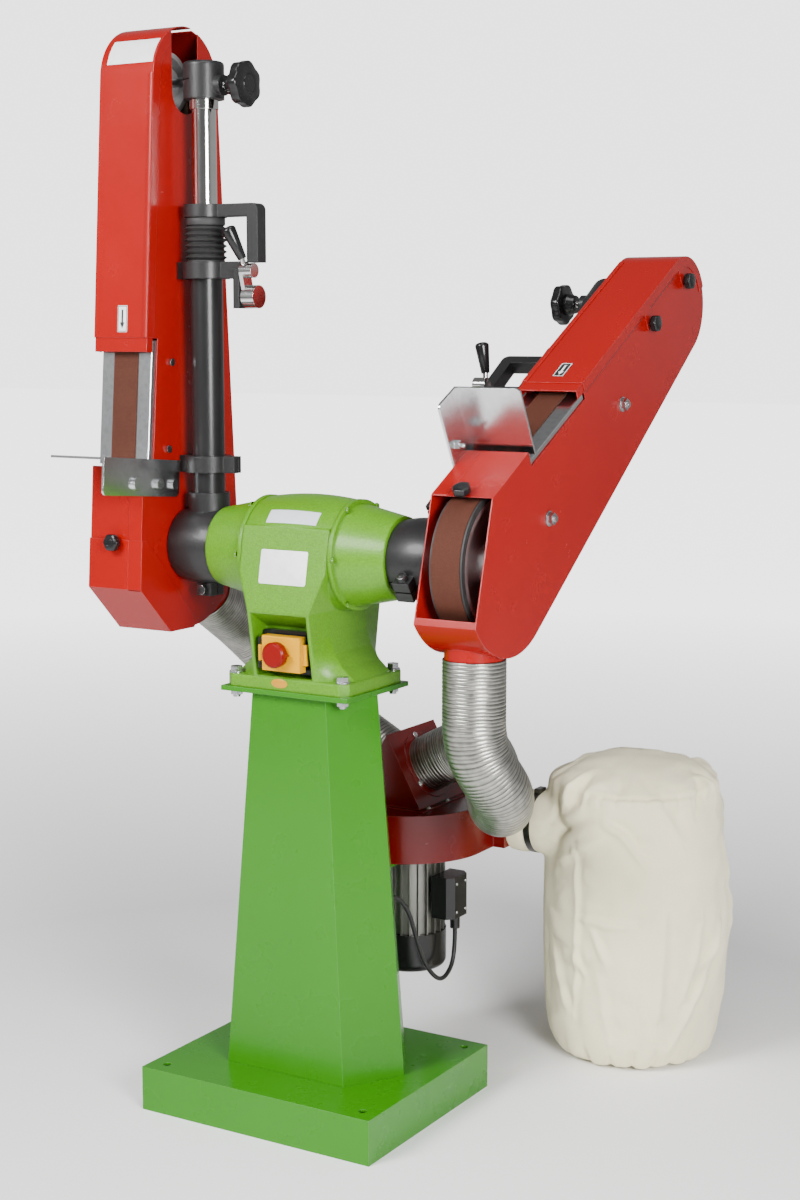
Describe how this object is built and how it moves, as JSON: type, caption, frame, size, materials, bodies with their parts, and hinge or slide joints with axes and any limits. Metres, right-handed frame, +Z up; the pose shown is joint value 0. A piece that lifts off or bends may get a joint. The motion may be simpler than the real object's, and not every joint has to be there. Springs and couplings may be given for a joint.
{
  "type": "double belt sander",
  "caption": "Floor-standing double belt sander: a double-ended motor on a column turns a tilting belt arm at each end, with a dust fan and bag behind.",
  "frame": {"origin": "on the floor, in the middle of the four anchor holes of the base tray", "axes": "+Z up, +X along the motor shaft to the right-hand arm, -Y to the front where the operator stands"},
  "size_m": [0.9075, 0.9747, 1.8045],
  "materials": {
    "green_sheet": "semi-gloss",
    "green_casting": "textured semi-gloss",
    "red_sheet": "semi-gloss",
    "black_casting": "satin black",
    "black_tube": "satin black",
    "chrome": "polished",
    "zinc_steel": "zinc plated",
    "steel": "turned",
    "aluminium": "satin",
    "windings": "varnished",
    "rubber": "matt",
    "abrasive": "gritty",
    "black_plastic": "satin",
    "yellow_plastic": "gloss",
    "red_plastic": "gloss",
    "green_plastic": "gloss",
    "cloth": "woven cotton",
    "cable": "satin"
  },
  "bodies": {
    "stand": {"base_tray": "green_sheet", "column": "green_sheet", "column_top_plate": "green_sheet", "motor_frame": "green_casting", "motor_end_bells": "green_casting", "motor_stator": "windings", "motor_bearings": "steel", "stand_fasteners": "zinc_steel", "switch_base": "black_plastic", "fan_scroll": "red_sheet", "fan_inlet_box": "red_sheet", "fan_motor": "aluminium", "fan_motor_covers": "black_plastic", "fan_cable": "cable", "dust_bag": "cloth", "bag_clamp": "zinc_steel", "left_hose": "aluminium", "right_hose": "aluminium"},
    "spindle": {"rotor_shaft": "steel", "contact_wheels": "aluminium", "wheel_tyres": "rubber"},
    "left_arm": {"left_pivot_hub": "black_casting", "left_support_tube": "black_tube", "left_tube_clamps": "black_casting", "left_belt_housing": "red_sheet", "left_front_cover": "red_sheet", "left_platen": "zinc_steel", "left_abrasive_belt": "abrasive", "left_clamp_knobs": "black_plastic", "left_arm_fasteners": "zinc_steel", "left_bellows": "rubber", "left_wheel_cover": "red_sheet"},
    "left_slide": {"left_slide_tube": "chrome", "left_slide_castings": "black_casting"},
    "left_axle": {"left_idler_axle": "steel"},
    "left_idler": {"left_idler_wheel": "aluminium"},
    "left_tracking": {"left_tracking_knob": "black_plastic"},
    "left_lever": {"left_tension_lever": "zinc_steel"},
    "left_table": {"left_work_table": "zinc_steel"},
    "right_arm": {"right_pivot_hub": "black_casting", "right_support_tube": "black_tube", "right_tube_clamps": "black_casting", "right_belt_housing": "red_sheet", "right_front_cover": "red_sheet", "right_platen": "zinc_steel", "right_abrasive_belt": "abrasive", "right_clamp_knobs": "black_plastic", "right_arm_fasteners": "zinc_steel", "right_bellows": "rubber"},
    "right_slide": {"right_slide_tube": "chrome", "right_slide_castings": "black_casting"},
    "right_axle": {"right_idler_axle": "steel"},
    "right_idler": {"right_idler_wheel": "aluminium"},
    "right_tracking": {"right_tracking_knob": "black_plastic"},
    "right_lever": {"right_tension_lever": "zinc_steel"},
    "right_table": {"right_work_table": "zinc_steel"},
    "switch_lid": {"switch_lid": "yellow_plastic"},
    "stop_knob": {"stop_knob": "red_plastic"},
    "start_button": {"start_button": "green_plastic"},
    "impeller": {"fan_impeller": "steel"}
  },
  "joints": [
    {"name": "spindle_spin", "type": "hinge", "parent": "stand", "child": "spindle", "pos_m": [0, 0, 0.942], "axis": [1, 0, 0], "continuous": true},
    {"name": "left_arm_tilt", "type": "hinge", "parent": "stand", "child": "left_arm", "pos_m": [-0.214, 0, 0.942], "axis": [1, 0, 0], "range_deg": [-90, 0], "deforming": ["left_hose"]},
    {"name": "left_tension_lever", "type": "hinge", "parent": "left_arm", "child": "left_lever", "pos_m": [-0.127, 0, 1.359], "axis": [1, 0, 0], "range_deg": [0, 70]},
    {"name": "left_tension_slide", "type": "slide", "parent": "left_arm", "child": "left_slide", "axis": [0, 0, 1], "range_m": [-0.018, 0], "deforming": ["left_bellows", "left_abrasive_belt"]},
    {"name": "left_tracking_knob_turn", "type": "hinge", "parent": "left_slide", "child": "left_tracking", "pos_m": [-0.134, 0, 1.703], "axis": [-1, 0, 0], "range_deg": [-180, 180]},
    {"name": "left_idler_tilt", "type": "hinge", "parent": "left_slide", "child": "left_axle", "pos_m": [-0.214, 0, 1.713], "axis": [0, 1, 0], "range_deg": [-2.5, 2.5]},
    {"name": "left_idler_spin", "type": "hinge", "parent": "left_axle", "child": "left_idler", "pos_m": [-0.3145, 0, 1.713], "axis": [1, 0, 0], "continuous": true},
    {"name": "left_table_slide", "type": "slide", "parent": "left_arm", "child": "left_table", "axis": [0, -0.9967, 0.0817], "range_m": [0, 0.012]},
    {"name": "right_arm_tilt", "type": "hinge", "parent": "stand", "child": "right_arm", "pos_m": [0.214, 0, 0.942], "axis": [1, 0, 0], "range_deg": [-32.5, 57.5], "deforming": ["right_hose"]},
    {"name": "right_tension_lever", "type": "hinge", "parent": "right_arm", "child": "right_lever", "pos_m": [0.127, 0.35169, 1.16605], "axis": [1, 0, 0], "range_deg": [0, 45]},
    {"name": "right_tension_slide", "type": "slide", "parent": "right_arm", "child": "right_slide", "axis": [0, 0.8434, 0.5373], "range_m": [-0.018, 0], "deforming": ["right_bellows", "right_abrasive_belt"]},
    {"name": "right_tracking_knob_turn", "type": "hinge", "parent": "right_slide", "child": "right_tracking", "pos_m": [0.134, 0.64182, 1.35088], "axis": [1, 0, 0], "range_deg": [-180, 180]},
    {"name": "right_idler_tilt", "type": "hinge", "parent": "right_slide", "child": "right_axle", "pos_m": [0.214, 0.65026, 1.35626], "axis": [0, -0.5373, 0.8434], "range_deg": [-2.5, 2.5]},
    {"name": "right_idler_spin", "type": "hinge", "parent": "right_axle", "child": "right_idler", "pos_m": [0.3145, 0.65026, 1.35626], "axis": [1, 0, 0], "continuous": true},
    {"name": "right_table_slide", "type": "slide", "parent": "right_arm", "child": "right_table", "axis": [0, -0.4666, 0.8845], "range_m": [0, 0.012]},
    {"name": "switch_lid_hinge", "type": "hinge", "parent": "stand", "child": "switch_lid", "pos_m": [-0.04, -0.0994, 0.785], "axis": [0, 0, -1], "range_deg": [0, 95]},
    {"name": "stop_knob_press", "type": "slide", "parent": "switch_lid", "child": "stop_knob", "axis": [0, 1, 0], "range_m": [0, 0.004], "stiffness_N_per_m": 1500, "springref_m": -0.004},
    {"name": "start_button_press", "type": "slide", "parent": "stand", "child": "start_button", "axis": [0, 1, 0], "range_m": [0, 0.003], "stiffness_N_per_m": 1500, "springref_m": -0.003},
    {"name": "impeller_spin", "type": "hinge", "parent": "stand", "child": "impeller", "pos_m": [0, 0.31, 0.421], "axis": [0, 0, 1], "continuous": true}
  ],
  "couplings": [
    {"joint": "left_tension_slide", "follows": "left_tension_lever", "m_per_rad": -0.014733},
    {"joint": "left_idler_tilt", "follows": "left_tracking_knob_turn", "ratio": 0.013888},
    {"joint": "left_idler_spin", "follows": "spindle_spin", "ratio": 2.1909},
    {"joint": "right_tension_slide", "follows": "right_tension_lever", "m_per_rad": -0.022918},
    {"joint": "right_idler_tilt", "follows": "right_tracking_knob_turn", "ratio": 0.013888},
    {"joint": "right_idler_spin", "follows": "spindle_spin", "ratio": 2.1909}
  ]
}
